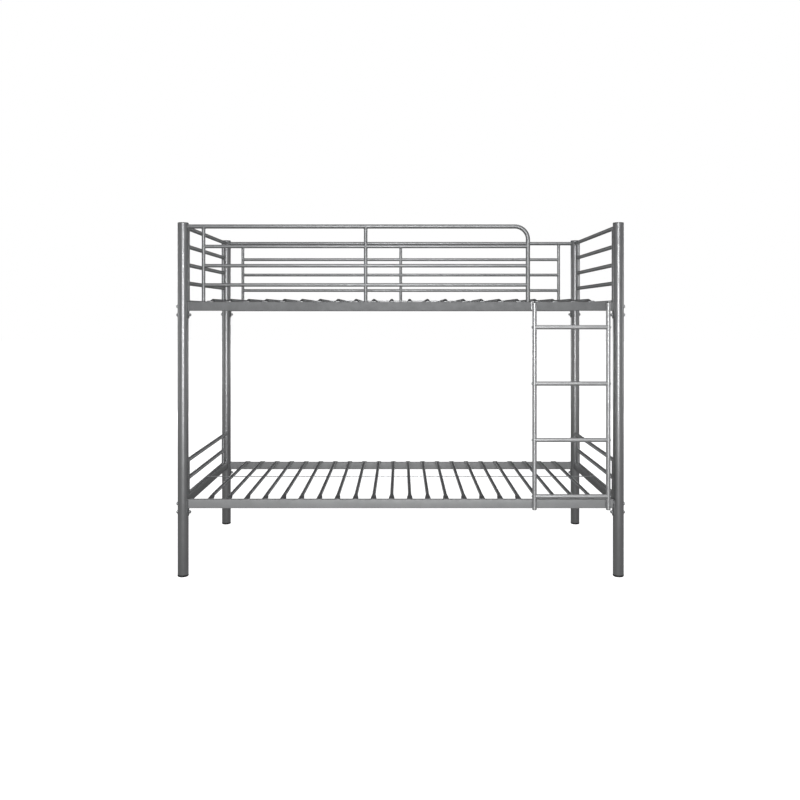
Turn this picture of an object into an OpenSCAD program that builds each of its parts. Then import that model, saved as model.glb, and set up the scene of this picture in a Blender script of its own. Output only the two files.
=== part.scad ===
// Metal bunk bed with a hook-on ladder. Millimetres, +Z up, front faces -Y, origin under the middle.

/* [Overall] */
// Distance between post axes along the bed
post_span_x = 1950; // [1700:10:2100]
// Distance between post axes across the bed
post_span_y = 920; // [800:10:1100]
// Height over the post caps
total_h = 1584; // [1500:1:1700]

/* [Posts] */
// Post tube diameter
post_d = 48; // [45:1:55]
// Post tube wall
post_wall = 1.2; // [1:0.1:2.5]
// Thickness of the foot rim under each post
foot_h = 9; // [6:1:14]
// Thickness of the cap rim on each post
cap_h = 3; // [2:0.5:5]

/* [Rails] */
// Side rail height
rail_h = 40; // [34:1:44]
// Side rail thickness
rail_t = 20; // [18:1:22]
// End rail width
end_rail_t = 25; // [20:1:30]
// Rail tube wall
rail_wall = 1.2; // [1:0.1:2]
// Rail tube corner radius
rail_r = 2; // [1.6:0.1:3]
// Top of the lower side rails
lower_top = 345; // [330:5:400]
// Top of the upper side rails
upper_top = 1228; // [1200:2:1240]
// Height of the end rail tops above the side rail tops
end_rail_rise = 8; // [6:1:9]
// Saddle plate thickness
plate_t = 3; // [2:0.5:4]
// Saddle plate width
plate_w = 32; // [26:1:36]
// Distance between the two bolts of a rail end
bolt_pitch = 38; // [36:1:42]

/* [Slats] */
// Number of slats in each bunk
slat_n = 22; // [12:1:24]
// Distance between slats
slat_pitch = 81.25; // [70:0.25:85]
// Slat tube diameter
slat_d = 16; // [14:1:18]
// Slat tube wall
slat_wall = 0.8; // [0.8:0.1:1.5]
// Width of the flattened slat ends
tongue_w = 25; // [20:1:28]
// Thickness of the flattened slat ends
tongue_t = 3; // [2:0.5:4]
// Tie rod diameter
rod_d = 4.5; // [3:0.5:5]

/* [Guards] */
// Diameter of the top guard tubes and end uprights
bar_d = 19; // [17:1:20]
// Diameter of the guard bars below the top tube
inner_d = 15.9; // [12:0.1:15.9]
// Diameter of the bars between the end uprights
end_inner_d = 18.9; // [15:0.1:18.9]
// Diameter of the upright guard tubes
upright_d = 16; // [16:0.5:19]
// Guard tube wall
bar_wall = 1; // [0.8:0.1:1.5]
// Distance from the top down to the top guard tube axis
guard_drop = 18; // [12:1:20]
// Bend radius of the front guard
bend_r = 58; // [40:1:80]
// Front guard end leg position from the middle
leg_x = 570; // [560:1:575]
// Front guard left upright position from the middle
front_upright_x = -883.5; // [-886:0.5:-881]
// Front guard middle upright position from the middle
mid_upright_x = -157; // [-165:1:-155]
// Rear guard outer upright position from the middle
rear_upright_x = 883; // [881:0.5:886]
// Distance from post axis to the end uprights
end_upright_in = 80; // [60:1:100]

/* [Ladder] */
// Left stile position from the middle
stile_left_x = 595.7; // [594:0.1:597]
// Right stile position from the middle
stile_right_x = 924.2; // [900:0.1:928]
// Stile tube diameter
stile_d = 20; // [18:1:22]
// Rung tube diameter
rung_d = 19; // [16:1:19]
// Top of the stiles
stile_top = 1223.5; // [1215:0.5:1226]
// Bottom of the stiles
stile_bottom = 303; // [300:1:312]
// Lowest rung height
rung_1_z = 362; // [355:1:380]
// Distance between rungs
rung_pitch = 251; // [230:0.1:260]
// Hook strap thickness
strap_t = 3; // [2:0.5:4]
// Hook strap width
strap_w = 12; // [8:0.5:13]
// Working gap around the hook
gap = 0.3; // [0.2:0.05:0.5]

/* [Hidden] */
$fn = 48;

steel = [0.52, 0.53, 0.54];
light_steel = [0.68, 0.69, 0.7];
zinc = [0.75, 0.76, 0.78];
plastic = [0.16, 0.16, 0.17];

post_r = post_d / 2;
eps = 1;
stile_out = rail_t / 2 + gap + strap_t + stile_d / 2 + 0.1;
y_mid = (stile_out + stile_d / 2 - post_r) / 2;
post_x = post_span_x / 2;
front_y = y_mid - post_span_y / 2;
rear_y = y_mid + post_span_y / 2;
stile_y = front_y - stile_out;
cap_z = total_h - cap_h;
guard_z = total_h - guard_drop;
saddle_r = post_r + plate_t;
bolt_drop = rail_h / 2;
bolt_zs = [
    upper_top - bolt_drop, upper_top - bolt_drop - bolt_pitch,
    lower_top - bolt_drop, lower_top - bolt_drop - bolt_pitch
];
bolt_hole = 8.6;
slat_axis = 7;
rod_rise = end_rail_rise + rod_d / 2;
slat_body = post_span_y / 2 - rail_t / 2 - 45;
tongue_in = post_span_y / 2 - rail_t / 2 - 10;
tongue_out = post_span_y / 2 + rail_t / 2 - 1;
front_bar_zs = [1476.5, 1391, 1304];
end_bar_zs = [1482, 1398, 1314];
lower_end_top = 505;
lower_end_bar = 423;
strap_left_x = stile_left_x - 7.3;
strap_right_x = stile_right_x + 7.3;

// Round tube along Z from z0 to z1.
module tube_z(x, y, z0, z1, d, wall) {
    translate([x, y, z0])
        difference() {
            cylinder(d = d, h = z1 - z0);
            translate([0, 0, -eps])
                cylinder(d = d - 2 * wall, h = z1 - z0 + 2 * eps);
        }
}

// Round tube along X from x0 to x1.
module tube_x(x0, x1, y, z, d, wall) {
    translate([x0, y, z])
        rotate([0, 90, 0])
            tube_z(0, 0, 0, x1 - x0, d, wall);
}

// Round tube along Y from y0 to y1.
module tube_y(x, y0, y1, z, d, wall) {
    translate([x, y0, z])
        rotate([-90, 0, 0])
            tube_z(0, 0, 0, y1 - y0, d, wall);
}

// Rectangular bar with rounded long edges, along Z, centred on the axis.
module rounded_bar(a, b, h, r) {
    translate([-a / 2 + r, -b / 2, 0])
        cube([a - 2 * r, b, h]);
    translate([-a / 2, -b / 2 + r, 0])
        cube([a, b - 2 * r, h]);
    for (i = [-1, 1], j = [-1, 1])
        translate([i * (a / 2 - r), j * (b / 2 - r), 0])
            cylinder(r = r, h = h);
}

// Rectangular tube with rounded long edges, along Z.
module rounded_tube(a, b, h) {
    difference() {
        rounded_bar(a, b, h, rail_r);
        translate([0, 0, -eps])
            rounded_bar(a - 2 * rail_wall, b - 2 * rail_wall, h + 2 * eps, 0.5);
    }
}

// Solid rods standing where the four posts are, used to cope tube ends.
module post_cores(r) {
    for (x = [-post_x, post_x], y = [front_y, rear_y])
        translate([x, y, 0])
            cylinder(r = r, h = total_h);
}

module post(x, y) {
    color(steel)
        difference() {
            tube_z(x, y, foot_h, cap_z, post_d, post_wall);
            for (z = bolt_zs)
                translate([x - post_d, y, z])
                    rotate([0, 90, 0])
                        cylinder(d = bolt_hole, h = 2 * post_d);
        }
}

// Foot: a rounded rim under the tube and a hollow plug inside it.
module foot(x, y) {
    plug_r = post_r - post_wall - 0.2;
    color(plastic)
        translate([x, y, 0])
            rotate_extrude()
                polygon([
                    [0, 0], [post_r - 3, 0], [post_r - 0.6, 1], [post_r + 0.5, 3.5],
                    [post_r + 0.5, foot_h], [plug_r, foot_h], [plug_r, foot_h + 22],
                    [plug_r - 2.5, foot_h + 22], [plug_r - 2.5, 4], [0, 4]
                ]);
}

// Cap: a low domed rim on the tube and a hollow plug inside it.
module cap(x, y) {
    plug_r = post_r - post_wall - 0.2;
    color(plastic)
        translate([x, y, cap_z])
            rotate_extrude()
                polygon([
                    [0, cap_h], [post_r - 6, cap_h - 0.3], [post_r - 1.5, cap_h - 1],
                    [post_r + 0.4, cap_h - 2], [post_r + 0.4, 0], [plug_r, 0],
                    [plug_r, -20], [plug_r - 2, -20], [plug_r - 2, -1], [0, -1]
                ]);
}

// Side rail along X, coped to the saddle plates at both ends.
module side_rail(y, top) {
    color(steel)
        difference() {
            translate([-post_x, y, top - rail_h / 2])
                rotate([0, 90, 0])
                    rounded_tube(rail_h, rail_t, post_span_x);
            post_cores(saddle_r);
        }
}

// Curved saddle plates at both ends of a side rail.
module plates(y, top) {
    h = rail_h / 2 + bolt_pitch + 16;
    color(steel)
        for (s = [-1, 1])
            difference() {
                intersection() {
                    translate([s * post_x, y, top - h])
                        cylinder(r = saddle_r, h = h);
                    translate([s * (post_x - post_r) - post_r / 2, y - plate_w / 2, top - h])
                        cube([post_r, plate_w, h]);
                }
                translate([s * post_x, y, top - h - eps])
                    cylinder(r = post_r, h = h + 2 * eps);
                for (z = [top - bolt_drop, top - bolt_drop - bolt_pitch])
                    translate([s * post_x - post_d, y, z])
                        rotate([0, 90, 0])
                            cylinder(d = bolt_hole, h = 2 * post_d);
            }
}

// End rail along Y between a front and a rear post, with the tie rod hole on top.
module end_rail(x, top) {
    color(steel)
        difference() {
            translate([x, front_y, top - rail_h / 2])
                rotate([-90, 0, 0])
                    rounded_tube(end_rail_t, rail_h, post_span_y);
            post_cores(post_r);
            translate([x, y_mid, top - rail_wall - eps])
                cylinder(d = rod_d + 0.7, h = 2 * rail_wall + eps);
        }
}

// End top bar along Y, coped to the posts.
module end_top_bar(x, z) {
    color(steel)
        difference() {
            tube_y(x, front_y, rear_y, z, bar_d, bar_wall);
            post_cores(post_r);
        }
}

// The two uprights of an end frame, seated on the end rail and coped under the top bar.
module end_uprights(x, z0, z1) {
    color(steel)
        difference() {
            for (y = [front_y + end_upright_in, rear_y - end_upright_in])
                tube_z(x, y, z0, z1, bar_d, bar_wall);
            translate([x, front_y, z1])
                rotate([-90, 0, 0])
                    cylinder(d = bar_d, h = post_span_y);
        }
}

// Horizontal bars between the uprights of an end frame.
module end_bars(x, zs) {
    y0 = front_y + end_upright_in;
    y1 = rear_y - end_upright_in;
    color(steel)
        difference() {
            for (z = zs)
                tube_y(x, y0, y1, z, end_inner_d, bar_wall);
            for (y = [y0, y1])
                translate([x, y, min(zs) - bar_d])
                    cylinder(d = bar_d, h = max(zs) - min(zs) + 2 * bar_d);
        }
}

// Front guard tube: from the left post along the top, round a bend and down to the rail.
module front_guard_hoop() {
    color(light_steel) {
        difference() {
            tube_x(-post_x, leg_x - bend_r, front_y, guard_z, bar_d, bar_wall);
            post_cores(post_r);
        }
        translate([leg_x - bend_r, front_y, guard_z - bend_r])
            rotate([90, 0, 0])
                rotate_extrude(angle = 90)
                    translate([bend_r, 0])
                        difference() {
                            circle(d = bar_d);
                            circle(d = bar_d - 2 * bar_wall);
                        }
        tube_z(leg_x, front_y, upper_top, guard_z - bend_r, bar_d, bar_wall);
    }
}

// Guard uprights between the upper rail and the guard's top tube.
module guard_uprights(xs, y) {
    color(light_steel)
        difference() {
            for (x = xs)
                tube_z(x, y, upper_top, guard_z, upright_d, bar_wall);
            translate([-post_x, y, guard_z])
                rotate([0, 90, 0])
                    cylinder(d = bar_d, h = post_span_x);
        }
}

// Guard bars between neighbouring uprights; ds holds the upright diameters.
module guard_bars(xs, ds, y, zs) {
    color(light_steel)
        difference() {
            for (i = [0:len(xs) - 2], z = zs)
                tube_x(xs[i], xs[i + 1], y, z, inner_d, bar_wall);
            for (i = [0:len(xs) - 1])
                translate([xs[i], y, upper_top])
                    cylinder(d = ds[i], h = guard_z - upper_top);
        }
}

module front_guard_uprights() {
    guard_uprights([front_upright_x, mid_upright_x], front_y);
}

module front_guard_bars() {
    guard_bars([front_upright_x, mid_upright_x, leg_x], [upright_d, upright_d, bar_d], front_y, front_bar_zs);
}

module rear_guard_top_bar() {
    color(steel)
        difference() {
            tube_x(-post_x, post_x, rear_y, guard_z, bar_d, bar_wall);
            post_cores(post_r);
        }
}

module rear_guard_uprights() {
    guard_uprights([-rear_upright_x, 0, rear_upright_x], rear_y);
}

module rear_guard_bars() {
    guard_bars([-rear_upright_x, 0, rear_upright_x], [upright_d, upright_d, upright_d], rear_y, front_bar_zs);
}

// One ladder stile with holes for the rung screws.
module stile(x) {
    color(light_steel)
        difference() {
            tube_z(x, stile_y, stile_bottom, stile_top, stile_d, bar_wall);
            for (k = [0:3])
                translate([x - stile_d, stile_y, rung_1_z + k * rung_pitch])
                    rotate([0, 90, 0])
                        cylinder(d = 6.4, h = 2 * stile_d);
        }
}

// One rung: a tube with solid ends, coped to both stiles and bored for the screws.
module rung(k) {
    z = rung_1_z + k * rung_pitch;
    x0 = stile_left_x + stile_d / 2;
    x1 = stile_right_x - stile_d / 2;
    color(light_steel)
        difference() {
            translate([stile_left_x, stile_y, z])
                rotate([0, 90, 0])
                    cylinder(d = rung_d, h = stile_right_x - stile_left_x);
            for (x = [stile_left_x, stile_right_x])
                translate([x, stile_y, z - rung_d])
                    cylinder(d = stile_d, h = 2 * rung_d);
            translate([x0 + 14, stile_y, z])
                rotate([0, 90, 0])
                    cylinder(d = rung_d - 2 * bar_wall, h = x1 - x0 - 28);
            translate([x0 - 10, stile_y, z])
                rotate([0, 90, 0])
                    cylinder(d = 6.4, h = x1 - x0 + 20);
        }
}

// Hook strap: down the back of the stile, over the rail and down behind it.
module hook(x) {
    color(light_steel) {
        translate([x - strap_w / 2, front_y - rail_t / 2 - gap - strap_t, upper_top - 36])
            cube([strap_w, strap_t, 36 + gap + strap_t]);
        translate([x - strap_w / 2, front_y - rail_t / 2 - gap - strap_t, upper_top + gap])
            cube([strap_w, rail_t + 2 * gap + 2 * strap_t, strap_t]);
        translate([x - strap_w / 2, front_y + rail_t / 2 + gap, upper_top - 24])
            cube([strap_w, strap_t, 24 + gap + strap_t]);
    }
}

// Pads that keep the stiles off the lower rail.
module ladder_pads() {
    color(plastic)
        for (x = [stile_left_x, stile_right_x])
            difference() {
                translate([x - 9, stile_y, stile_bottom + 6])
                    cube([18, front_y - rail_t / 2 - gap - stile_y, 26]);
                translate([x, stile_y, stile_bottom])
                    cylinder(d = stile_d, h = 40);
            }
}

// Plugs in both ends of both stiles.
module ladder_plugs() {
    plug_r = stile_d / 2 - bar_wall - 0.15;
    color(plastic)
        for (x = [stile_left_x, stile_right_x], s = [0, 1])
            translate([x, stile_y, s == 0 ? stile_bottom : stile_top])
                rotate([s * 180, 0, 0])
                    rotate_extrude()
                        polygon([
                            [0, -2.5], [stile_d / 2 - 3, -2.2], [stile_d / 2 - 0.8, -1.2],
                            [stile_d / 2, 0], [plug_r, 0], [plug_r, 12], [0, 12]
                        ]);
}

// Screws through the stiles into the rung ends.
module ladder_screws() {
    color(zinc)
        for (k = [0:3], s = [-1, 1])
            translate([s < 0 ? stile_left_x : stile_right_x, stile_y, rung_1_z + k * rung_pitch])
                rotate([0, s * 90, 0]) {
                    translate([0, 0, stile_d / 2 - 0.02])
                        cylinder(d1 = 11, d2 = 7, h = 3.2);
                    translate([0, 0, -stile_d / 2 - 9])
                        cylinder(d = 5.8, h = stile_d + 9);
                }
}

// Flattened slat end: a tongue on the rail and a wedge that grows into the tube.
module slat_end() {
    translate([-tongue_w / 2, tongue_in, 0])
        cube([tongue_w, tongue_out - tongue_in, tongue_t]);
    intersection() {
        translate([0, 0, -2])
            linear_extrude(slat_d + 4)
                polygon([
                    [-tongue_w / 2, tongue_in], [tongue_w / 2, tongue_in],
                    [6.6, slat_body - 4], [-6.6, slat_body - 4]
                ]);
        rotate([90, 0, 90])
            translate([0, 0, -tongue_w])
                linear_extrude(2 * tongue_w)
                    polygon([
                        [tongue_in, 0], [tongue_in, tongue_t],
                        [slat_body - 4, slat_axis + 6.6], [slat_body - 4, slat_axis - 6.6]
                    ]);
    }
}

// A bunk's slats, each one tube with flattened ends resting on both side rails.
module slats(top) {
    color(steel)
        for (i = [0:slat_n - 1])
            translate([(i - (slat_n - 1) / 2) * slat_pitch, y_mid, top])
                difference() {
                    union() {
                        translate([0, -slat_body, slat_axis])
                            rotate([-90, 0, 0])
                                cylinder(d = slat_d, h = 2 * slat_body);
                        slat_end();
                        rotate([0, 0, 180])
                            slat_end();
                    }
                    translate([0, -slat_body + 3, slat_axis])
                        rotate([-90, 0, 0])
                            cylinder(d = slat_d - 2 * slat_wall, h = 2 * slat_body - 6);
                    translate([-slat_d, 0, rod_rise])
                        rotate([0, 90, 0])
                            cylinder(d = rod_d + 0.7, h = 2 * slat_d);
                }
}

// Tie rod through all slats of a bunk, its ends turned down into the end rails.
module tie_rod(top) {
    color(zinc) {
        translate([-post_x, y_mid, top + rod_rise])
            rotate([0, 90, 0])
                cylinder(d = rod_d, h = post_span_x);
        for (x = [-post_x, post_x]) {
            translate([x, y_mid, top + rod_rise])
                sphere(d = rod_d);
            translate([x, y_mid, top + rod_rise - 6])
                cylinder(d = rod_d, h = 6);
        }
    }
}

// Flange bolts through the posts into the rail ends.
module rail_bolts() {
    color(zinc)
        for (s = [-1, 1], y = [front_y, rear_y], z = bolt_zs)
            translate([s * post_x, y, z])
                rotate([0, s * 90, 0]) {
                    translate([0, 0, post_r])
                        cylinder(d = 17, h = 1.4);
                    translate([0, 0, post_r + 1.4])
                        cylinder(d1 = 13.5, d2 = 8.5, h = 4.6);
                    translate([0, 0, -saddle_r - 9.5])
                        cylinder(d = 8, h = saddle_r + 9.5 + post_r + eps);
                }
}

// Flange nuts: the upper of each pair inside the rail, the lower one in the open.
module rail_nuts() {
    color(zinc)
        for (s = [-1, 1], y = [front_y, rear_y], z = bolt_zs)
            translate([s * (post_x - saddle_r), y, z])
                rotate([0, -s * 90, 0])
                    difference() {
                        union() {
                            cylinder(d = 16, h = 1.2);
                            cylinder(d = 15, h = 7, $fn = 6);
                        }
                        translate([0, 0, -eps])
                            cylinder(d = 8.1, h = 7 + 2 * eps);
                    }
}

module post_front_left() { post(-post_x, front_y); }
module post_front_right() { post(post_x, front_y); }
module post_rear_left() { post(-post_x, rear_y); }
module post_rear_right() { post(post_x, rear_y); }
module foot_front_left() { foot(-post_x, front_y); }
module foot_front_right() { foot(post_x, front_y); }
module foot_rear_left() { foot(-post_x, rear_y); }
module foot_rear_right() { foot(post_x, rear_y); }
module cap_front_left() { cap(-post_x, front_y); }
module cap_front_right() { cap(post_x, front_y); }
module cap_rear_left() { cap(-post_x, rear_y); }
module cap_rear_right() { cap(post_x, rear_y); }
module front_upper_rail() { side_rail(front_y, upper_top); }
module front_lower_rail() { side_rail(front_y, lower_top); }
module rear_upper_rail() { side_rail(rear_y, upper_top); }
module rear_lower_rail() { side_rail(rear_y, lower_top); }
module front_upper_plates() { plates(front_y, upper_top); }
module front_lower_plates() { plates(front_y, lower_top); }
module rear_upper_plates() { plates(rear_y, upper_top); }
module rear_lower_plates() { plates(rear_y, lower_top); }
module left_upper_end_rail() { end_rail(-post_x, upper_top + end_rail_rise); }
module right_upper_end_rail() { end_rail(post_x, upper_top + end_rail_rise); }
module left_lower_end_rail() { end_rail(-post_x, lower_top + end_rail_rise); }
module right_lower_end_rail() { end_rail(post_x, lower_top + end_rail_rise); }
module left_upper_top_bar() { end_top_bar(-post_x, guard_z); }
module right_upper_top_bar() { end_top_bar(post_x, guard_z); }
module left_lower_top_bar() { end_top_bar(-post_x, lower_end_top); }
module right_lower_top_bar() { end_top_bar(post_x, lower_end_top); }
module left_upper_uprights() { end_uprights(-post_x, upper_top + end_rail_rise, guard_z); }
module right_upper_uprights() { end_uprights(post_x, upper_top + end_rail_rise, guard_z); }
module left_lower_uprights() { end_uprights(-post_x, lower_top + end_rail_rise, lower_end_top); }
module right_lower_uprights() { end_uprights(post_x, lower_top + end_rail_rise, lower_end_top); }
module left_upper_bars() { end_bars(-post_x, end_bar_zs); }
module right_upper_bars() { end_bars(post_x, end_bar_zs); }
module left_lower_bar() { end_bars(-post_x, [lower_end_bar]); }
module right_lower_bar() { end_bars(post_x, [lower_end_bar]); }
module ladder_left_stile() { stile(stile_left_x); }
module ladder_right_stile() { stile(stile_right_x); }
module ladder_rung_1() { rung(0); }
module ladder_rung_2() { rung(1); }
module ladder_rung_3() { rung(2); }
module ladder_rung_4() { rung(3); }
module ladder_left_hook() { hook(strap_left_x); }
module ladder_right_hook() { hook(strap_right_x); }
module lower_slats() { slats(lower_top); }
module upper_slats() { slats(upper_top); }
module lower_tie_rod() { tie_rod(lower_top); }
module upper_tie_rod() { tie_rod(upper_top); }

post_front_left();
post_front_right();
post_rear_left();
post_rear_right();
foot_front_left();
foot_front_right();
foot_rear_left();
foot_rear_right();
cap_front_left();
cap_front_right();
cap_rear_left();
cap_rear_right();
front_upper_rail();
front_lower_rail();
rear_upper_rail();
rear_lower_rail();
front_upper_plates();
front_lower_plates();
rear_upper_plates();
rear_lower_plates();
left_upper_end_rail();
right_upper_end_rail();
left_lower_end_rail();
right_lower_end_rail();
left_upper_top_bar();
right_upper_top_bar();
left_lower_top_bar();
right_lower_top_bar();
left_upper_uprights();
right_upper_uprights();
left_lower_uprights();
right_lower_uprights();
left_upper_bars();
right_upper_bars();
left_lower_bar();
right_lower_bar();
front_guard_hoop();
front_guard_uprights();
front_guard_bars();
rear_guard_top_bar();
rear_guard_uprights();
rear_guard_bars();
ladder_left_stile();
ladder_right_stile();
ladder_rung_1();
ladder_rung_2();
ladder_rung_3();
ladder_rung_4();
ladder_left_hook();
ladder_right_hook();
ladder_pads();
ladder_plugs();
ladder_screws();
lower_slats();
upper_slats();
lower_tie_rod();
upper_tie_rod();
rail_bolts();
rail_nuts();
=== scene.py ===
"""Bunk bed with a hook-on ladder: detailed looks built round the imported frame.

Metres, +Z up, front faces -Y.
"""
import math

import bmesh
import bpy
import numpy as np
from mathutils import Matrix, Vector


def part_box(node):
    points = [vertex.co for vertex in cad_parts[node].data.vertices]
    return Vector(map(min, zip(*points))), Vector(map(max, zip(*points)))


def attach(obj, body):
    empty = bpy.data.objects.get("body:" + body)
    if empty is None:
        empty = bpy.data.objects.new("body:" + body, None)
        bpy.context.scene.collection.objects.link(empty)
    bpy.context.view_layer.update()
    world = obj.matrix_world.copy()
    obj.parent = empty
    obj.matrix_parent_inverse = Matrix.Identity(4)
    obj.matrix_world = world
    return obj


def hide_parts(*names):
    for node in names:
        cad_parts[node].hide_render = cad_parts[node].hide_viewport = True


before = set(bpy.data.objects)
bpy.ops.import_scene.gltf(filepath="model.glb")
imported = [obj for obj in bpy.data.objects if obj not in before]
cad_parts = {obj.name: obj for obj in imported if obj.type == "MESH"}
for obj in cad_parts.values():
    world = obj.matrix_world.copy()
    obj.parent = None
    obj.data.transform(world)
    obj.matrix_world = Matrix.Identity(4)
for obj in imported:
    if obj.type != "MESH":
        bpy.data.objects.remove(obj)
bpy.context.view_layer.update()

MM = 0.001
TAU = 2 * math.pi
WHITE = (1, 1, 1, 1)

# Brightness of the room that the metal reflects, along Y: 0 is the front, 1 the back
ROOM = (
    (0.0, (0.29, 0.29, 0.294)),
    (0.5, (0.2, 0.2, 0.203)),
    (0.78, (0.06, 0.06, 0.061)),
    (1.0, (0.1, 0.1, 0.102)),
)

# Name, place, what it points at, width, height, power
LIGHTS = (
    ("key", (0.05, -5.2, 1.75), (0, 0, 1.2), 0.56, 3.3, 104),
    ("top", (0.3, -1.2, 4.2), (0, 0, 1.0), 3.5, 2.5, 26),
    ("back_left", (-3.6, 5.4, 1.3), (0, 0, 1.0), 1.0, 2.2, 46),
    ("back_right", (3.6, 5.4, 1.3), (0, 0, 1.0), 1.0, 2.2, 46),
    ("left", (-6.0, -0.6, 1.3), (0, 0, 1.0), 1.0, 2.4, 14),
    ("right", (6.0, -0.6, 1.3), (0, 0, 1.0), 1.0, 2.4, 14),
)

FLOOR_HALF = 30                # half the floor's width
FLOOR_SEEN = 0.97              # its glow as the camera sees it
FLOOR_BOUNCE = (0.36, 0.15)    # what the metal sees of it, at the front and behind
FLOOR_FADE = (-4.0, 2.0)       # where along Y the second takes over from the first


# ---------------------------------------------------------------- camera and light

def look_camera():
    """Level studio view from the front, just below the top of the upper side rails."""
    data = bpy.data.cameras.new("camera")
    data.lens = 37.2
    data.sensor_width = 36.0
    data.shift_x = -0.0009
    data.shift_y = -0.1092
    data.clip_end = 60
    cam = bpy.data.objects.new("camera", data)
    cam.location = (0.0, -4.16, 1.18)
    cam.rotation_euler = (math.radians(90), 0, 0)
    bpy.context.collection.objects.link(cam)
    bpy.context.scene.camera = cam


def area_light(name, place, target, width, height, power):
    data = bpy.data.lights.new(name, "AREA")
    data.shape = "RECTANGLE"
    data.size = width
    data.size_y = height
    data.energy = power
    lamp = bpy.data.objects.new(name, data)
    lamp.location = place
    lamp.rotation_euler = (Vector(target) - Vector(place)).to_track_quat("-Z", "Y").to_euler()
    bpy.context.collection.objects.link(lamp)


def studio():
    """White surroundings for the camera; a dimmer room, brighter in front, for everything else."""
    world = bpy.data.worlds.new("studio")
    bpy.context.scene.world = world
    world.use_nodes = True
    nt = world.node_tree
    nt.nodes.clear()
    out = nt.nodes.new("ShaderNodeOutputWorld")
    mix = nt.nodes.new("ShaderNodeMixShader")
    path = nt.nodes.new("ShaderNodeLightPath")
    seen = nt.nodes.new("ShaderNodeBackground")
    seen.inputs["Color"].default_value = WHITE
    seen.inputs["Strength"].default_value = 1.0
    room = nt.nodes.new("ShaderNodeBackground")
    room.inputs["Strength"].default_value = 1.0
    coord = nt.nodes.new("ShaderNodeTexCoord")
    split = nt.nodes.new("ShaderNodeSeparateXYZ")
    ramp = nt.nodes.new("ShaderNodeValToRGB")
    stops = ramp.color_ramp.elements
    for stop, (place, level) in zip((stops[0], stops[1]), (ROOM[0], ROOM[-1])):
        stop.position = place
        stop.color = (*level, 1)
    for place, level in ROOM[1:-1]:
        stops.new(place).color = (*level, 1)
    span = nt.nodes.new("ShaderNodeMapRange")
    span.inputs["From Min"].default_value = -1.0
    span.inputs["From Max"].default_value = 1.0
    nt.links.new(coord.outputs["Generated"], split.inputs[0])
    nt.links.new(split.outputs["Y"], span.inputs["Value"])
    nt.links.new(span.outputs["Result"], ramp.inputs["Fac"])
    nt.links.new(ramp.outputs["Color"], room.inputs["Color"])
    nt.links.new(path.outputs["Is Camera Ray"], mix.inputs["Fac"])
    nt.links.new(room.outputs[0], mix.inputs[1])
    nt.links.new(seen.outputs[0], mix.inputs[2])
    nt.links.new(mix.outputs[0], out.inputs["Surface"])
    bpy.context.scene.view_settings.view_transform = "Standard"
    for light in LIGHTS:
        area_light(*light)


def plain_floor():
    """Pale floor that mostly glows, so that only soft contact shadows show; the metal sees it dimmer."""
    bm = bmesh.new()
    bmesh.ops.create_grid(bm, x_segments=1, y_segments=1, size=FLOOR_HALF)
    mesh = bpy.data.meshes.new("floor")
    bm.to_mesh(mesh)
    bm.free()
    floor = bpy.data.objects.new("floor", mesh)
    bpy.context.collection.objects.link(floor)
    mat = bpy.data.materials.new("floor")
    mat.use_nodes = True
    nt = mat.node_tree
    nt.nodes.clear()
    out = nt.nodes.new("ShaderNodeOutputMaterial")
    mix = nt.nodes.new("ShaderNodeMixShader")
    path = nt.nodes.new("ShaderNodeLightPath")
    add = nt.nodes.new("ShaderNodeAddShader")
    glow = nt.nodes.new("ShaderNodeEmission")
    glow.inputs["Color"].default_value = WHITE
    glow.inputs["Strength"].default_value = FLOOR_SEEN
    matt = nt.nodes.new("ShaderNodeBsdfDiffuse")
    matt.inputs["Color"].default_value = (0.75, 0.75, 0.75, 1)
    dim = nt.nodes.new("ShaderNodeEmission")
    dim.inputs["Strength"].default_value = 1.0
    coord = nt.nodes.new("ShaderNodeTexCoord")
    split = nt.nodes.new("ShaderNodeSeparateXYZ")
    fall = nt.nodes.new("ShaderNodeMapRange")
    fall.interpolation_type = "SMOOTHSTEP"
    fall.inputs["From Min"].default_value = FLOOR_FADE[0]
    fall.inputs["From Max"].default_value = FLOOR_FADE[1]
    fall.inputs["To Min"].default_value = FLOOR_BOUNCE[0]
    fall.inputs["To Max"].default_value = FLOOR_BOUNCE[1]
    nt.links.new(coord.outputs["Object"], split.inputs[0])
    nt.links.new(split.outputs["Y"], fall.inputs["Value"])
    nt.links.new(fall.outputs["Result"], dim.inputs["Color"])
    nt.links.new(glow.outputs[0], add.inputs[0])
    nt.links.new(matt.outputs[0], add.inputs[1])
    nt.links.new(path.outputs["Is Camera Ray"], mix.inputs["Fac"])
    nt.links.new(dim.outputs[0], mix.inputs[1])
    nt.links.new(add.outputs[0], mix.inputs[2])
    nt.links.new(mix.outputs[0], out.inputs["Surface"])
    mesh.materials.append(mat)


# ---------------------------------------------------------------- materials

def noise(nt, coord, scale, detail):
    node = nt.nodes.new("ShaderNodeTexNoise")
    node.inputs["Scale"].default_value = scale
    node.inputs["Detail"].default_value = detail
    nt.links.new(coord, node.inputs["Vector"])
    return node.outputs["Fac"]


def remap(nt, value, low, high):
    """Spreads the middle of a noise's range, where nearly all of its values lie, from low to high."""
    node = nt.nodes.new("ShaderNodeMapRange")
    node.inputs["From Min"].default_value = 0.3
    node.inputs["From Max"].default_value = 0.7
    node.inputs["To Min"].default_value = low
    node.inputs["To Max"].default_value = high
    nt.links.new(value, node.inputs["Value"])
    return node.outputs["Result"]


def multiply(nt, a, b):
    node = nt.nodes.new("ShaderNodeMath")
    node.operation = "MULTIPLY"
    nt.links.new(a, node.inputs[0])
    nt.links.new(b, node.inputs[1])
    return node.outputs[0]


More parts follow.
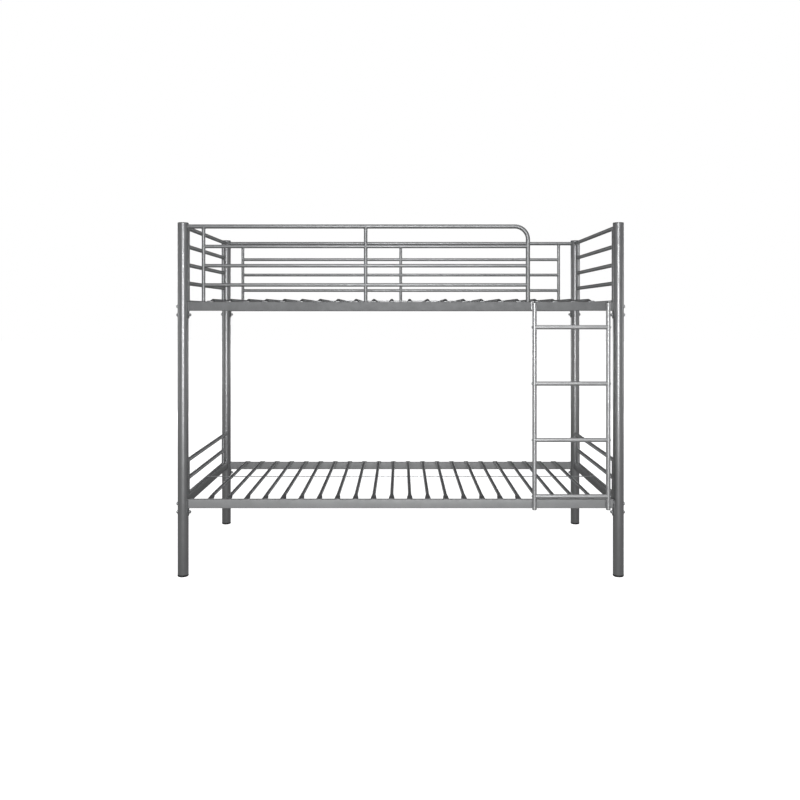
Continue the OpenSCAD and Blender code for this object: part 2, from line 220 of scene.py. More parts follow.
def surface(name, color, metallic, roughness, spread, flake_scale, flake_depth,
            peel_scale, peel_height, streak=None):
    """Procedural surface: slow colour drift, fine flakes, changing roughness and a fine bump."""
    mat = bpy.data.materials.new(name)
    mat.use_nodes = True
    nt = mat.node_tree
    bsdf = nt.nodes["Principled BSDF"]
    coord = nt.nodes.new("ShaderNodeTexCoord").outputs["Object"]
    if streak:
        stretch = nt.nodes.new("ShaderNodeMapping")
        stretch.inputs["Scale"].default_value = streak
        nt.links.new(coord, stretch.inputs["Vector"])
        fine_coord = stretch.outputs[0]
    else:
        fine_coord = coord
    slow = remap(nt, noise(nt, coord, 7.0, 3.0), 1 - spread, 1 + spread)
    flakes = remap(nt, noise(nt, fine_coord, flake_scale, 1.0), 1 - flake_depth, 1 + flake_depth)
    shade = multiply(nt, slow, flakes)
    tint = nt.nodes.new("ShaderNodeVectorMath")
    tint.operation = "SCALE"
    tint.inputs[0].default_value = color
    nt.links.new(shade, tint.inputs["Scale"])
    nt.links.new(tint.outputs[0], bsdf.inputs["Base Color"])
    bsdf.inputs["Metallic"].default_value = metallic
    rough = remap(nt, noise(nt, coord, 40.0, 4.0), roughness - 0.04, roughness + 0.05)
    nt.links.new(rough, bsdf.inputs["Roughness"])
    bump = nt.nodes.new("ShaderNodeBump")
    bump.inputs["Strength"].default_value = 0.35
    bump.inputs["Distance"].default_value = peel_height
    nt.links.new(noise(nt, fine_coord, peel_scale, 2.0), bump.inputs["Height"])
    nt.links.new(bump.outputs[0], bsdf.inputs["Normal"])
    return mat


# Flake scale, flake depth, peel scale and peel height of the powder coat
COAT = (1500, 0.10, 420, 0.0003)

# Key: name, colour, metallic, roughness, colour spread, the four values above, a streak scale if any
LOOKS = {
    # One silver-grey powder coat (post, rail, low_rail, bar) and one lighter silver (bright, guard), each
    # in copies made darker or lighter per part: painted shade and painted light for how the light falls on
    # that part.
    "post": ("post_paint", (0.40, 0.405, 0.41), 0.92, 0.37, 0.05, *COAT),
    # rail: darker, rougher copy of the paint, painted shade on the upper side rails and all saddle plates.
    "rail": ("rail_paint", (0.26, 0.264, 0.268), 0.72, 0.64, 0.06, *COAT),
    # low_rail: lighter copy of the paint, painted light on the lower side rails.
    "low_rail": ("lit_low_rail_paint", (0.44, 0.445, 0.45), 0.72, 0.60, 0.06, *COAT),
    # bar: slightly darker copy of the paint, painted shade on the end frames, rear guard and slats.
    "bar": ("shaded_bar_paint", (0.36, 0.365, 0.37), 0.92, 0.42, 0.05, *COAT),
    # guard: darker copy of the bright silver, painted shade on the front guard.
    "guard": ("shaded_guard_paint", (0.34, 0.345, 0.35), 0.90, 0.44, 0.05, *COAT),
    # bright: the ladder's own lighter silver, made lighter still as painted light on the stiles, rungs and
    # hook straps.
    "bright": ("bright_silver_and_lit_paint", (0.62, 0.625, 0.63), 0.92, 0.38, 0.05, *COAT),
    "weld": ("weld_paint", (0.36, 0.365, 0.37), 0.90, 0.46, 0.08, 1200, 0.12, 600, 0.0004),
    "zinc": ("zinc", (0.56, 0.57, 0.58), 1.0, 0.33, 0.10, 260, 0.12, 700, 0.0002),
    "rod": ("drawn_rod", (0.56, 0.57, 0.58), 1.0, 0.34, 0.06, 300, 0.10, 300, 0.0002, (0.05, 1, 1)),
    "plastic": ("moulded_plastic", (0.035, 0.035, 0.037), 0.0, 0.52, 0.10, 900, 0.08, 900, 0.0003),
}
MATS = {}


def make_materials():
    for key, look in LOOKS.items():
        MATS[key] = surface(*look)


# ---------------------------------------------------------------- mesh building

class Shape:
    """Collects rings of points into closed skins and turns them into one object."""

    def __init__(self):
        self.verts = []
        self.faces = []

    def skin(self, rings, loop=False):
        """Joins neighbouring rings with quads; a skin that isn't a loop is closed at both ends by fans."""
        first = len(self.verts)
        count = len(rings[0])
        for ring in rings:
            self.verts.extend(tuple(float(c) for c in p) for p in ring)
        steps = len(rings) if loop else len(rings) - 1
        for i in range(steps):
            a = first + i * count
            b = first + ((i + 1) % len(rings)) * count
            for j in range(count):
                k = (j + 1) % count
                self.faces.append((a + j, a + k, b + k, b + j))
        if not loop:
            for i in (0, len(rings) - 1):
                middle = len(self.verts)
                self.verts.append(tuple(float(c) for c in np.mean(rings[i], axis=0)))
                start = first + i * count
                for j in range(count):
                    self.faces.append((start + j, start + (j + 1) % count, middle))

    def build(self, name, mat, body, slot, nodes=(), sharp=38.0, bevel=0.0):
        bm = bmesh.new()
        made = [bm.verts.new(v) for v in self.verts]
        for f in self.faces:
            bm.faces.new([made[i] for i in f])
        bmesh.ops.remove_doubles(bm, verts=bm.verts, dist=1e-6)
        bmesh.ops.dissolve_degenerate(bm, dist=1e-7, edges=bm.edges)
        bmesh.ops.recalc_face_normals(bm, faces=bm.faces)
        limit = math.radians(sharp)
        for face in bm.faces:
            face.smooth = True
        for edge in bm.edges:
            edge.smooth = len(edge.link_faces) == 2 and edge.calc_face_angle(0) < limit
        mesh = bpy.data.meshes.new(name)
        bm.to_mesh(mesh)
        bm.free()
        obj = bpy.data.objects.new(name, mesh)
        bpy.context.collection.objects.link(obj)
        mesh.materials.append(MATS[mat])
        if bevel:
            mod = obj.modifiers.new("edges", "BEVEL")
            mod.width = bevel
            mod.segments = 2
            mod.limit_method = "ANGLE"
            mod.angle_limit = math.radians(45)
            mod.harden_normals = True
        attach(obj, body)
        if nodes:
            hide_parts(*nodes)
        return obj


def circle(count):
    a = np.linspace(0, TAU, count, endpoint=False)
    return np.cos(a), np.sin(a)


AXES = {"x": (0, 1, 2), "y": (1, 0, 2), "z": (2, 0, 1)}


def outline_round(radius, count=32):
    c, s = circle(count)
    return np.stack([c * radius, s * radius], axis=1)


def outline_box(a, b, r):
    """Rounded rectangle, a wide and b high."""
    steps = 5
    points = []
    for k, (sx, sy) in enumerate(((1, 1), (-1, 1), (-1, -1), (1, -1))):
        for i in range(steps + 1):
            t = k * math.pi / 2 + i * math.pi / 2 / steps
            points.append((sx * (a / 2 - r) + r * math.cos(t), sy * (b / 2 - r) + r * math.sin(t)))
    return np.array(points)


def straight(shape, axis, at, start, end, outline, cut0=None, cut1=None, lip=0.0):
    """Extrudes an outline along an axis. at is the place across the axis; a cut is (radius, side),
    the radius of the tube that end is coped to and which outline coordinate runs across both tubes."""
    m, u, v = AXES[axis]
    rings = []

    def ring(value, cut, sign, grow=1.0, inset=0.0):
        pts = np.zeros((len(outline), 3))
        pts[:, u] = at[0] + outline[:, 0] * grow
        pts[:, v] = at[1] + outline[:, 1] * grow
        pts[:, m] = value
        if cut:
            across = np.clip(np.abs(outline[:, cut[1]] * grow), 0, cut[0])
            pts[:, m] += sign * np.sqrt(cut[0] ** 2 - across ** 2)
        pts[:, m] += sign * inset
        return pts

    if lip and not cut0:
        rings.append(ring(start, None, 1, 1 - lip / np.abs(outline).max(), 0.0))
        rings.append(ring(start, None, 1, 1.0, lip))
    else:
        rings.append(ring(start, cut0, 1))
    if lip and not cut1:
        rings.append(ring(end, None, -1, 1.0, lip))
        rings.append(ring(end, None, -1, 1 - lip / np.abs(outline).max(), 0.0))
    else:
        rings.append(ring(end, cut1, -1))
    shape.skin(rings)


WELD = 1.7 * MM                # radius of a weld bead between guard tubes
RAIL_WELD = 2.1 * MM
END_BAR_WELD = 1.4 * MM
GUARD_BAR_WELD = 1.3 * MM
RUNG_WELD = 0.35 * MM
BEAD_SIDES = 8                 # corners of a bead's section
BEADS = {"frame": Shape(), "ladder": Shape()}
_bead_count = [0]


def bead(body, axis, at, value, outline, cut, sign, size=WELD):
    """A rippled fillet weld where an outline meets a flat face (cut None) or a round tube."""
    m, u, v = AXES[axis]
    _bead_count[0] += 1
    seed = _bead_count[0] * 1.618
    closed = np.vstack([outline, outline[:1]])
    lengths = np.linalg.norm(np.diff(closed, axis=0), axis=1)
    total = lengths.sum()
    count = int(np.clip(total / (1.1 * MM), 40, 110))
    along = np.linspace(0, total, count, endpoint=False)
    ends = np.concatenate([[0], np.cumsum(lengths)])
    px = np.interp(along, ends, closed[:, 0])
    py = np.interp(along, ends, closed[:, 1])
    ripples = max(8, int(total / (3.0 * MM)))
    turn = TAU * along / total
    swell = 1 + 0.13 * np.sin(ripples * turn + seed) + 0.08 * np.sin(3 * turn + seed * 2)
    gap = np.hypot(px, py)
    nx, ny = px / gap, py / gap
    rings = []
    for i in range(count):
        base = np.zeros(3)
        base[u], base[v], base[m] = at[0] + px[i], at[1] + py[i], value
        if cut:
            across = min(abs((px, py)[cut[1]][i]), cut[0])
            base[m] += sign * math.sqrt(cut[0] ** 2 - across ** 2)
        out = np.zeros(3)
        out[u], out[v] = nx[i], ny[i]
        up = np.zeros(3)
        up[m] = sign
        r = size * swell[i]
        rings.append([base + out * r * math.cos(t) + up * r * math.sin(t)
                      for t in np.linspace(0, TAU, BEAD_SIDES, endpoint=False)])
    BEADS[body].skin(rings, loop=True)


def section(x, y, z, r, flat):
    """A bead's ring round (x, y, z): in the X-Z plane when flat is "y", in the X-Y plane when it is "z"."""
    angles = np.linspace(0, TAU, BEAD_SIDES, endpoint=False)
    if flat == "y":
        return [(x + r * math.cos(a), y, z + r * math.sin(a)) for a in angles]
    return [(x + r * math.cos(a), y + r * math.sin(a), z) for a in angles]


def joined(shape, axis, at, start, end, outline, cut0, cut1, size=WELD):
    """A straight tube of the frame with a weld at each end."""
    straight(shape, axis, at, start, end, outline, cut0, cut1)
    bead("frame", axis, at, start, outline, cut0, 1, size)
    bead("frame", axis, at, end, outline, cut1, -1, size)


def lathe(shape, centre, axis, profile, count, sides=None):
    """Revolves (radius, height) pairs round an axis through centre. axis is a signed letter such as '-x'.
    sides, when given for a pair, bends that ring into a hexagon of that across-flats radius."""
    sign = -1 if axis[0] == "-" else 1
    m, u, v = AXES[axis[-1]]
    angles = np.linspace(0, TAU, count, endpoint=False)
    folded = np.mod(angles, math.pi / 3) - math.pi / 6
    rings = []
    for i, (r, h) in enumerate(profile):
        radius = np.full(count, r)
        if sides and sides[i]:
            radius = np.minimum(radius, sides[i] / np.cos(folded))
        ring = np.zeros((count, 3))
        ring[:, u] = centre[u] + radius * np.cos(angles)
        ring[:, v] = centre[v] + radius * np.sin(angles)
        ring[:, m] = centre[m] + sign * h
        rings.append(ring)
    shape.skin(rings)


def sweep(shape, points, tangents, radius, count):
    """A round rod along a path that stays in the X-Z plane."""
    c, s = circle(count)
    side = np.array((0.0, 1.0, 0.0))
    rings = []
    for p, t in zip(points, tangents):
        t = np.array(t, float) / np.linalg.norm(t)
        other = np.cross(side, t)
        rings.append(np.array(p) + radius * (np.outer(c, side) + np.outer(s, other)))
    shape.skin(rings)


# ---------------------------------------------------------------- sizes

def mid(node):
    lo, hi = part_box(node)
    return (lo + hi) / 2


# Read from the frame
POST = {k: mid("post_" + k) for k in ("front_left", "front_right", "rear_left", "rear_right")}
POST_R = (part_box("post_front_left")[1].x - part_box("post_front_left")[0].x) / 2
POST_X = POST["front_right"].x
FRONT_Y = POST["front_left"].y
REAR_Y = POST["rear_left"].y
MID_Y = (FRONT_Y + REAR_Y) / 2
GUARD_Z = mid("rear_guard_top_bar").z
UPPER_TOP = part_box("front_upper_rail")[1].z
LOWER_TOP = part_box("front_lower_rail")[1].z

# The same as in the CAD, where no box gives them
SADDLE_R = POST_R + 3 * MM     # outer face of the saddle plates
TOP_R = 9.5 * MM               # top bars, front guard tube, end uprights
INNER_R = 7.95 * MM            # bars of the front and rear guard
UPRIGHT_R = 8 * MM             # uprights of the front and rear guard
RUNG_R = 9.5 * MM
STILE_R = 9.96 * MM            # ladder stiles, a hair under the CAD's 10 mm
RAIL_CORNER = 2 * MM
HOOP_BEND = 58 * MM
BOLT_PITCH = 38 * MM           # from a bolt through a rail end to the one below it

# Slats, in millimetres: round tubes whose ends are flattened into tongues that lie on the rails
SLATS = 22                     # in each bunk
SLAT_R = 8
SLAT_LIFT = 7                  # from a rail's top to the round part's axis
TONGUE_HALF = 12.5             # half a tongue's width
TONGUE_LIFT = 1.5              # half its height, and from a rail's top to its middle
TONGUE_FLAT = 29               # from a slat's end to the start of the taper
TAPER = 39                     # length of the taper

# Paint and material slots
SILVER = "silver_grey_paint"
BRIGHT = "bright_silver_paint"
ZINC = "zinc_steel"
BLACK = "black_plastic"


def bar_heights(node, count, radius):
    """Axis heights of evenly spaced bars, highest first, read from the node's box."""
    lo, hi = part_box(node)
    return np.linspace(hi.z - radius, lo.z + radius, count)


# ---------------------------------------------------------------- frame pieces

def make_posts():
    for key, c in POST.items():
        lo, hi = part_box("post_" + key)
        tube = Shape()
        h = hi.z - lo.z
        lathe(tube, (c.x, c.y, lo.z), "z", [
            (POST_R - 0.8 * MM, 0), (POST_R - 0.2 * MM, 0.2 * MM), (POST_R, 0.9 * MM),
            (POST_R, h - 0.9 * MM), (POST_R - 0.2 * MM, h - 0.2 * MM), (POST_R - 0.8 * MM, h)], 64)
        tube.build("tube_post_" + key, "post", "frame", SILVER, ["post_" + key])
        foot = Shape()
        top = lo.z
        rim = POST_R + 0.45 * MM
        lathe(foot, (c.x, c.y, 0), "z", [
            (rim - 7.4 * MM, 0), (rim - 3.6 * MM, 0.05 * MM), (rim - 1.8 * MM, 0.7 * MM),
            (rim - 0.6 * MM, 2.0 * MM), (rim, 3.8 * MM), (rim, top - 2.4 * MM),
            (rim - 0.25 * MM, top - 1.6 * MM), (rim - 0.1 * MM, top - 0.9 * MM),
            (rim - 0.5 * MM, top - 0.1 * MM), (rim - 1.9 * MM, top)], 56)
        foot.build("moulded_foot_" + key, "plastic", "frame", BLACK, ["foot_" + key])
        cap = Shape()
        rim = POST_R + 0.38 * MM
        lathe(cap, (c.x, c.y, hi.z), "z", [
            (rim - 1.4 * MM, 0), (rim - 0.3 * MM, 0.05 * MM), (rim, 0.5 * MM),
            (rim - 0.1 * MM, 1.1 * MM), (rim - 1.0 * MM, 1.75 * MM), (rim - 2.9 * MM, 2.25 * MM),
            (rim - 6.4 * MM, 2.6 * MM), (rim - 12.4 * MM, 2.85 * MM), (rim - 19.4 * MM, 2.97 * MM)], 56)
        cap.build("domed_cap_" + key, "plastic", "frame", BLACK, ["cap_" + key])


def saddle_plate(shape, y, low, high, sign):
    """Curved plate with round corners against a post; low and high are the corners of both plates' box."""
    half, corner = (high.y - low.y) / 2, 7 * MM
    rings = []
    for t in np.linspace(-1, 1, 25):
        across = t * (half - 0.01 * MM)
        over = max(0.0, abs(across) - (half - corner))
        cut_in = corner - math.sqrt(max(corner ** 2 - over ** 2, 0))
        inner = sign * (POST_X - math.sqrt(POST_R ** 2 - across ** 2))
        outer = sign * (POST_X - math.sqrt(SADDLE_R ** 2 - across ** 2))
        z0, z1 = low.z + cut_in, high.z - cut_in
        rings.append([(inner, y + across, z0), (outer, y + across, z0),
                      (outer, y + across, z1), (inner, y + across, z1)])
    shape.skin(rings)


def make_side_rails():
    cut = (SADDLE_R, 0)
    for depth, y in (("front", FRONT_Y), ("rear", REAR_Y)):
        # The upper rails take the darker copy of the paint (painted shade) and the lower rails the lighter
        # one (painted light).
        for level, look in (("upper", "rail"), ("lower", "low_rail")):
            node = f"{depth}_{level}_rail"
            lo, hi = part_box(node)
            at = (y, (lo.z + hi.z) / 2)
            outline = outline_box(hi.y - lo.y, hi.z - lo.z, RAIL_CORNER)
            rail = Shape()
            straight(rail, "x", at, -POST_X, POST_X, outline, cut, cut)
            rail.build("tube_" + node, look, "frame", SILVER, [node])
            for value, sign in ((-POST_X, 1), (POST_X, -1)):
                bead("frame", "x", at, value, outline, cut, sign, RAIL_WELD)
            node = f"{depth}_{level}_plates"
            lo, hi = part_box(node)
            plates = Shape()
            for sign in (-1, 1):
                saddle_plate(plates, y, lo, hi, sign)
            # The saddle plates take the darker copy of the paint too, painted shade.
            plates.build("saddle_" + node, "rail", "frame", SILVER, [node], bevel=0.5 * MM)


def make_end_frames():
    for side, x in (("left", -POST_X), ("right", POST_X)):
        post_cut = (POST_R, 0)
        for level in ("upper", "lower"):
            node = f"{side}_{level}_end_rail"
            lo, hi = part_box(node)
            rail_top = hi.z
            outline = outline_box(hi.x - lo.x, hi.z - lo.z, RAIL_CORNER)
            rail = Shape()
            joined(rail, "y", (x, (lo.z + hi.z) / 2), FRONT_Y, REAR_Y, outline,
                   post_cut, post_cut, RAIL_WELD)
            rail.build("tube_" + node, "bar", "frame", SILVER, [node])

            node = f"{side}_{level}_top_bar"
            bar_z = mid(node).z
            top = Shape()
            joined(top, "y", (x, bar_z), FRONT_Y, REAR_Y, outline_round(TOP_R), post_cut, post_cut)
            top.build("tube_" + node, "bar", "frame", SILVER, [node])

            node = f"{side}_{level}_uprights"
            lo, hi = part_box(node)
            ys = (lo.y + TOP_R, hi.y - TOP_R)
            uprights = Shape()
            for y in ys:
                joined(uprights, "z", (x, y), rail_top, bar_z, outline_round(TOP_R), None, (TOP_R, 0))
            uprights.build("tube_" + node, "bar", "frame", SILVER, [node])

            node = f"{side}_upper_bars" if level == "upper" else f"{side}_lower_bar"
            lo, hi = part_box(node)
            bar_r = (hi.x - lo.x) / 2
            bars = Shape()
            for z in bar_heights(node, 3 if level == "upper" else 1, bar_r):
                joined(bars, "y", (x, z), ys[0], ys[1], outline_round(bar_r),
                       (TOP_R, 0), (TOP_R, 0), END_BAR_WELD)
            bars.build("tube_" + node, "bar", "frame", SILVER, [node])


def make_front_guard():
    leg_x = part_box("front_guard_hoop")[1].x - TOP_R
    round_top = outline_round(TOP_R)
    c, s = round_top[:, 0], round_top[:, 1]
    rings = [np.stack([-POST_X + np.sqrt(POST_R ** 2 - c ** 2), FRONT_Y + c, GUARD_Z + s], axis=1)]
    for t in np.linspace(0, math.pi / 2, 15):
        cx, cz = leg_x - HOOP_BEND, GUARD_Z - HOOP_BEND
        reach = HOOP_BEND + s
        rings.append(np.stack([cx + reach * math.sin(t), FRONT_Y + c, cz + reach * math.cos(t)], axis=1))
    rings.append(np.stack([leg_x + s, FRONT_Y + c, np.full(len(c), UPPER_TOP)], axis=1))
    hoop = Shape()
    hoop.skin(rings)
    # The front guard takes a darker copy of the ladder's silver, painted shade.
    hoop.build("bent_front_guard_hoop", "guard", "frame", BRIGHT, ["front_guard_hoop"])
    bead("frame", "x", (FRONT_Y, GUARD_Z), -POST_X, round_top, (POST_R, 0), 1)
    bead("frame", "z", (leg_x, FRONT_Y), UPPER_TOP, round_top, None, 1)

    ulo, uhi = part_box("front_guard_uprights")
    xs = [ulo.x + UPRIGHT_R, uhi.x - UPRIGHT_R]
    uprights = Shape()
    for x in xs:
        joined(uprights, "z", (x, FRONT_Y), UPPER_TOP, GUARD_Z, outline_round(UPRIGHT_R), None, (TOP_R, 1))
    uprights.build("tube_front_guard_uprights", "guard", "frame", BRIGHT, ["front_guard_uprights"])

    bars = Shape()
    stops = [(xs[0], UPRIGHT_R), (xs[1], UPRIGHT_R), (leg_x, TOP_R)]
    for z in bar_heights("front_guard_bars", 3, INNER_R):
        for (x0, r0), (x1, r1) in zip(stops, stops[1:]):
            joined(bars, "x", (FRONT_Y, z), x0, x1, outline_round(INNER_R),
                   (r0, 0), (r1, 0), GUARD_BAR_WELD)
    bars.build("tube_front_guard_bars", "guard", "frame", BRIGHT, ["front_guard_bars"])


def make_rear_guard():
    top = Shape()
    joined(top, "x", (REAR_Y, GUARD_Z), -POST_X, POST_X, outline_round(TOP_R), (POST_R, 0), (POST_R, 0))
    top.build("tube_rear_guard_top_bar", "bar", "frame", SILVER, ["rear_guard_top_bar"])
    ulo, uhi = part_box("rear_guard_uprights")
    xs = [ulo.x + UPRIGHT_R, 0.0, uhi.x - UPRIGHT_R]
    uprights = Shape()
    for x in xs:
        joined(uprights, "z", (x, REAR_Y), UPPER_TOP, GUARD_Z, outline_round(UPRIGHT_R), None, (TOP_R, 1))
    uprights.build("tube_rear_guard_uprights", "bar", "frame", SILVER, ["rear_guard_uprights"])
    bars = Shape()
    for z in bar_heights("rear_guard_bars", 3, INNER_R):
        for x0, x1 in zip(xs, xs[1:]):
            joined(bars, "x", (REAR_Y, z), x0, x1, outline_round(INNER_R),
                   (UPRIGHT_R, 0), (UPRIGHT_R, 0), GUARD_BAR_WELD)
    bars.build("tube_rear_guard_bars", "bar", "frame", SILVER, ["rear_guard_bars"])


def slat_section(share):
    """A slat's outline between a round tube (share 0) and a flattened tongue (share 1).

    Returns the places across, the places up and the height of the middle above the rail.
    """
    k = share * share * (3 - 2 * share)
    half_w = SLAT_R * MM + k * (TONGUE_HALF - SLAT_R) * MM
    half_h = SLAT_R * MM + k * (TONGUE_LIFT - SLAT_R) * MM
    power = 1 + k * (0.28 - 1)     # 1 gives an ellipse, less gives a squarer outline
    c, s = circle(36)
    px = half_w * np.sign(c) * np.abs(c) ** power
    pz = half_h * np.sign(s) * np.abs(s) ** power
    return px, pz, SLAT_LIFT * MM + k * (TONGUE_LIFT - SLAT_LIFT) * MM


def slat_rings(x, top, stations):
    """All rings of one slat, from its rear end to its front end."""
    rings = []
    for sign in (1, -1):
        half = []
        for reach, share, grow in stations:
            px, pz, up = slat_section(share)
            y = np.full(len(px), MID_Y + sign * reach)
            half.append(np.stack([x + px * grow, y, top + up + pz * grow], axis=1))
        rings += half if sign > 0 else half[::-1]
    return rings


def tongue_bead(x, y, z, number):
    """The weld along one side of a slat's tongue, thinning towards both ends."""
    rings = []
    for j, t in enumerate(np.linspace(-8, 8, 13)):
        r = (1.5 - 1.1 * (abs(t) / 8) ** 3) * MM * (1 + 0.12 * math.sin(j * 2.4 + number))
        rings.append(section(x, y + t * MM, z, r, "y"))
    BEADS["frame"].skin(rings)


def make_slats():
    for level, top in (("lower", LOWER_TOP), ("upper", UPPER_TOP)):
        node = level + "_slats"
        lo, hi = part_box(node)
        end = hi.y - MID_Y
        first = lo.x + TONGUE_HALF * MM
        pitch = (hi.x - lo.x - 2 * TONGUE_HALF * MM) / (SLATS - 1)
        slats = Shape()
        # Half a slat, from its end inwards: distance from mid-width, share, scale of the width and height
        stations = [(end, 1.0, 0.86), (end - 0.8 * MM, 1.0, 1.0), (end - 27 * MM, 1.0, 1.0)]
        for share in (0.9, 0.78, 0.64, 0.5, 0.36, 0.22, 0.1, 0.0):
            stations.append((end - TONGUE_FLAT * MM - (1 - share) * TAPER * MM, share, 1.0))
        for i in range(SLATS):
            x = first + i * pitch
            slats.skin(slat_rings(x, top, stations))
            for sign in (1, -1):
                for edge in (1, -1):
                    centre = Vector((x + edge * 12.3 * MM, MID_Y + sign * (end - 9.5 * MM), top + 0.2 * MM))
                    tongue_bead(*centre, i)
        slats.build("flattened_" + node, "bar", "frame", SILVER, [node])


def make_tie_rods():
    for level in ("lower", "upper"):
        node = level + "_tie_rod"
        lo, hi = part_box(node)
        r = (hi.y - lo.y) / 2
        z = hi.z - r
        x1 = hi.x - r
        bend = 3.2 * MM
        tip = lo.z + 0.1 * MM
        points, tangents = [(-x1, MID_Y, tip)], [(0, 0, 1)]
        for t in np.linspace(0, math.pi / 2, 7):
            points.append((-x1 + bend * (1 - math.cos(t)), MID_Y, z - bend + bend * math.sin(t)))
            tangents.append((math.sin(t), 0, math.cos(t)))
        for t in np.linspace(math.pi / 2, 0, 7):
            points.append((x1 - bend * (1 - math.cos(t)), MID_Y, z - bend + bend * math.sin(t)))
            tangents.append((math.sin(t), 0, -math.cos(t)))
        points.append((x1, MID_Y, tip))
        tangents.append((0, 0, -1))
        rod = Shape()
        sweep(rod, points, tangents, r, 16)
        rod.build("bent_" + node, "rod", "frame", ZINC, [node])


# Turned profiles in millimetres: (radius, height above the face the piece sits on)
BOLT_HEAD = ((8, -1.2), (8.5, 0.2), (8.45, 1.1), (6.9, 1.5), (6.6, 2.4), (6.1, 4.0), (5.2, 5.2),
             (4.1, 5.85), (3.3, 5.95), (3.0, 5.9), (2.9, 3.2))
HEAD_SOCKET = [0] * 9 + [2.55 * MM, 2.5 * MM]
BOLT_TIP = ((3.95, -2), (3.95, 7.2), (3.5, 7.5), (3.95, 7.9), (3.5, 8.3), (3.95, 8.7), (3.3, 9.4))
NUT = ((7.6, -0.5), (8.0, 0.2), (7.9, 1.1), (7.35, 1.4), (7.45, 2.0), (7.45, 6.0), (6.6, 6.9),
       (4.4, 7.0), (4.0, 6.4))
NUT_FLATS = [0] * 3 + [6.45 * MM] * 4 + [0] * 2
SCREW_HEAD = ((5.0, -1.6), (5.45, -0.2), (5.4, 0.9), (4.7, 2.0), (3.5, 2.8), (2.6, 3.1), (2.2, 3.05),
              (2.1, 1.2))
SCREW_SOCKET = [0] * 6 + [1.9 * MM, 1.85 * MM]
PLUG = ((9.0, -0.6), (9.7, 0.05), (9.9, 0.45), (9.6, 0.95), (8.6, 1.5), (6.6, 2.05), (3.5, 2.4))


def turned(pairs, face=0.0):
    """A profile for lathe() from pairs in millimetres, with the heights counted from face."""
    return [(r * MM, face + h * MM) for r, h in pairs]


def make_bolts():
    heads, nuts = Shape(), Shape()
    rail_h = UPPER_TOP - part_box("front_upper_rail")[0].z
    zs = [top - rail_h / 2 - drop for top in (UPPER_TOP, LOWER_TOP) for drop in (0, BOLT_PITCH)]
    for sign, out, back in ((-1, "-x", "x"), (1, "x", "-x")):
        for y in (FRONT_Y, REAR_Y):
            for z in zs:
                centre = (sign * POST_X, y, z)
                lathe(heads, centre, out, turned(BOLT_HEAD, POST_R), 36, HEAD_SOCKET)
                lathe(heads, centre, back, turned(BOLT_TIP, SADDLE_R), 24)
                lathe(nuts, centre, back, turned(NUT, SADDLE_R), 48, NUT_FLATS)
    heads.build("button_rail_bolts", "zinc", "frame", ZINC, ["rail_bolts"], sharp=45)
    nuts.build("flange_rail_nuts", "zinc", "frame", ZINC, ["rail_nuts"], sharp=32)


# ---------------------------------------------------------------- ladder pieces

def make_ladder_tubes(stiles, y):
    """Stiles and rungs, with a small bead at each rung end. Returns the rungs' heights."""
    for side, stile_mid in stiles.items():
        node = f"ladder_{side}_stile"
        lo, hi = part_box(node)
        stile = Shape()
        straight(stile, "z", (stile_mid.x, y), lo.z, hi.z, outline_round(STILE_R, 40), lip=0.4 * MM)
        stile.build("tube_" + node, "bright", "ladder", BRIGHT, [node])
    heights = []
    outline, cope = outline_round(RUNG_R, 36), (STILE_R, 0)
    left, right = stiles["left"].x, stiles["right"].x
    for k in range(1, 5):
        node = f"ladder_rung_{k}"
        z = mid(node).z
        heights.append(z)
        rung = Shape()
        straight(rung, "x", (y, z), left, right, outline, cope, cope)
        rung.build("tube_" + node, "bright", "ladder", BRIGHT, [node])
        for value, sign in ((left, 1), (right, -1)):
            bead("ladder", "x", (y, z), value, outline, cope, sign, RUNG_WELD)
    return heights


def make_ladder_fittings(stiles, y, rung_heights):
    """Screws at the rung ends, plugs in the stile ends and pads against the lower front rail."""
    screws = Shape()
    for side, axis in (("left", "-x"), ("right", "x")):
        for z in rung_heights:
            lathe(screws, (stiles[side].x, y, z), axis, turned(SCREW_HEAD, STILE_R), 36, SCREW_SOCKET)
    screws.build("pan_ladder_screws", "zinc", "ladder", ZINC, ["ladder_screws"], sharp=45)

    plugs = Shape()
    for side, stile_mid in stiles.items():
        lo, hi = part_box(f"ladder_{side}_stile")
        for z, axis in ((lo.z, "-z"), (hi.z, "z")):
            lathe(plugs, (stile_mid.x, y, z), axis, turned(PLUG), 36)
    plugs.build("domed_ladder_plugs", "plastic", "ladder", BLACK, ["ladder_plugs"])

    pads = Shape()
    lo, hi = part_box("ladder_pads")
    corner, hollow_r = 1.5 * MM, STILE_R - 0.1 * MM
    levels = ((lo.z, 1.2), (lo.z + 0.4 * MM, 0.5), (lo.z + 1.2 * MM, 0),
              (hi.z - 1.2 * MM, 0), (hi.z - 0.4 * MM, 0.5), (hi.z, 1.2))
    for stile_mid in stiles.values():
        x = stile_mid.x
        rings = []
        for z, inset in levels:
            back, half = hi.y - inset * MM, 9 * MM - inset * MM
            ring = [(x - half, back - corner, z), (x - half + corner, back, z),
                    (x + half - corner, back, z), (x + half, back - corner, z)]
            for a in np.radians(np.linspace(64, 116, 11)):
                ring.append((x + hollow_r * math.cos(a), y + hollow_r * math.sin(a), z))
            rings.append(ring)
        pads.skin(rings)
    pads.build("rubber_ladder_pads", "plastic", "ladder", BLACK, ["ladder_pads"])


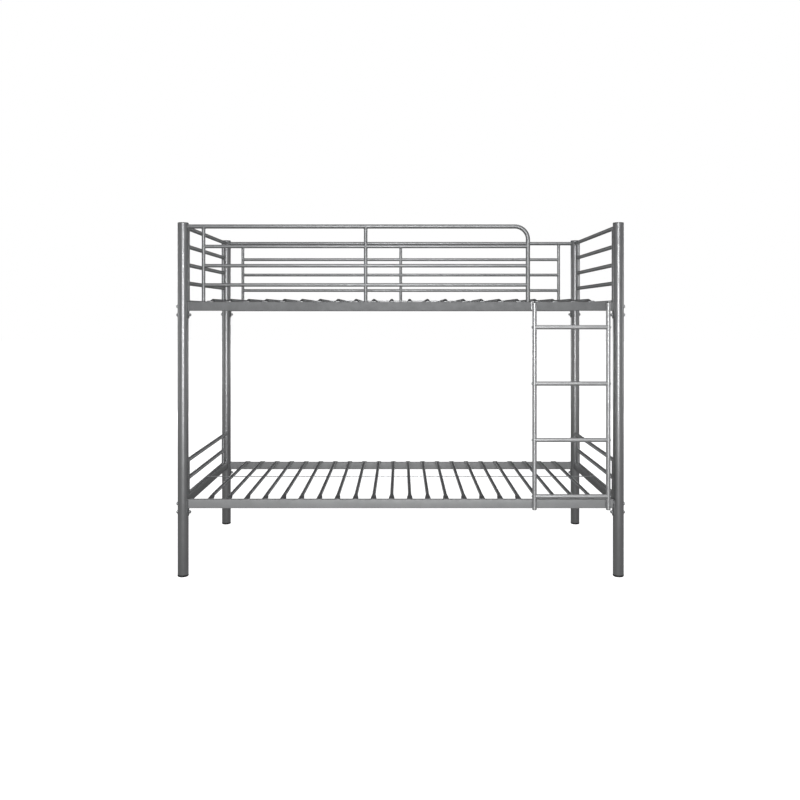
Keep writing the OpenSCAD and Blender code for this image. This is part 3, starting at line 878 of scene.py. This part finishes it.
def hook_strap(lo, hi):
    """A flat strap up the stile, over the rail and down behind it."""
    thick, bend, chamfer, reach = 3 * MM, 2.6 * MM, 2 * MM, 27.3 * MM
    x, half, h = (lo.x + hi.x) / 2, (hi.x - lo.x) / 2, thick / 2
    front, rear, high = lo.y + h, hi.y - h, hi.z - h

    def ring(w, y, z, ny=1.0, nz=0.0):
        dy, dz = ny * h, nz * h
        return [(x - w, y + dy, z + dz), (x + w, y + dy, z + dz),
                (x + w, y - dy, z - dz), (x - w, y - dy, z - dz)]

    rings = [ring(half - chamfer, front, lo.z, -1.0), ring(half, front, lo.z + chamfer, -1.0)]
    for a in np.linspace(0, math.pi / 2, 7):
        sin, cos = math.sin(a), math.cos(a)
        rings.append(ring(half, front + bend * (1 - cos), high - bend + bend * sin, -cos, sin))
    for a in np.linspace(math.pi / 2, 0, 7):
        sin, cos = math.sin(a), math.cos(a)
        rings.append(ring(half, rear - bend * (1 - cos), high - bend + bend * sin, cos, sin))
    low = hi.z - reach
    rings += [ring(half, rear, low + chamfer), ring(half - chamfer, rear, low)]
    strap = Shape()
    strap.skin(rings)
    return strap


def make_hooks():
    for side, toward in (("left", 1), ("right", -1)):
        node = f"ladder_{side}_hook"
        lo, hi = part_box(node)
        hook_strap(lo, hi).build("strap_" + node, "bright", "ladder", BRIGHT, [node], bevel=0.4 * MM)
        edge = (lo.x + hi.x) / 2 + toward * ((hi.x - lo.x) / 2)
        rings = []
        for j, z in enumerate(np.linspace(lo.z + 2 * MM, UPPER_TOP - 6 * MM, 22)):
            r = 1.6 * MM * (1 + 0.14 * math.sin(j * 2.2))
            rings.append(section(edge + toward * 0.2 * MM, lo.y + 0.5 * MM, z, r, "z"))
        BEADS["ladder"].skin(rings)


def make_ladder():
    stiles = {side: mid(f"ladder_{side}_stile") for side in ("left", "right")}
    y = stiles["left"].y
    rung_heights = make_ladder_tubes(stiles, y)
    make_ladder_fittings(stiles, y, rung_heights)
    make_hooks()


# ---------------------------------------------------------------- run

look_camera()
studio()
plain_floor()
make_materials()
make_posts()
make_side_rails()
make_end_frames()
make_front_guard()
make_rear_guard()
make_slats()
make_tie_rods()
make_bolts()
make_ladder()
BEADS["frame"].build("weld_beads_frame", "weld", "frame", SILVER, sharp=80)
BEADS["ladder"].build("weld_beads_ladder", "weld", "ladder", BRIGHT, sharp=80)
